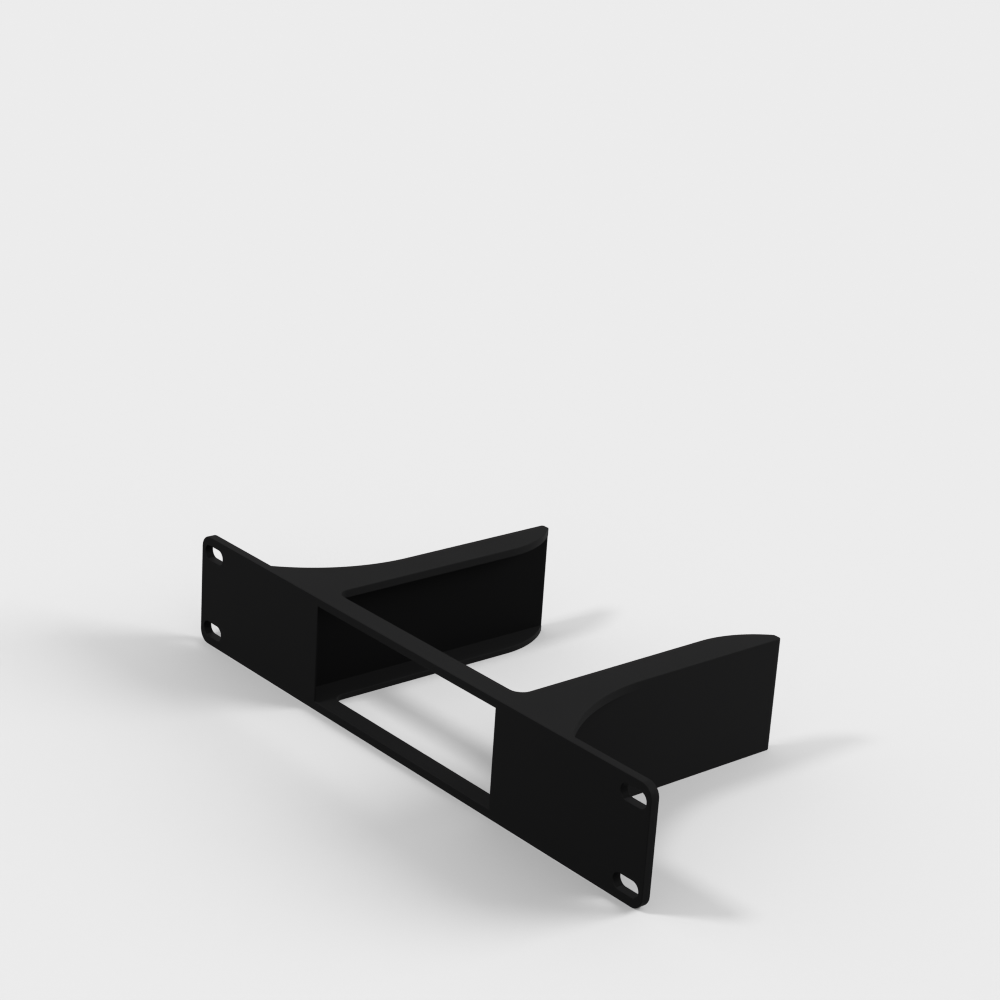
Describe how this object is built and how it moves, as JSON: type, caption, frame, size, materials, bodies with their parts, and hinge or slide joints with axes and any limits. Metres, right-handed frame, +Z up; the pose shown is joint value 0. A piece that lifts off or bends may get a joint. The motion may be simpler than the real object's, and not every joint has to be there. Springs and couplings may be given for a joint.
{
  "type": "rack mount bracket",
  "caption": "Slotted front panel with a window and gusseted channel-section arms behind it, carrying a small device in a narrow equipment rack.",
  "frame": {"origin": "middle of the underside, halfway along the panel and halfway between the panel's front face and the arms' tips", "axes": "+X along the panel to the right seen from the front, +Y from the panel's front to the arms' tips, +Z up"},
  "size_m": [0.254, 0.1212, 0.0444],
  "materials": {
    "black_plastic": "fine matte, as printed or moulded"
  },
  "bodies": {
    "root": {"rack_bracket": "black_plastic"}
  },
  "joints": []
}
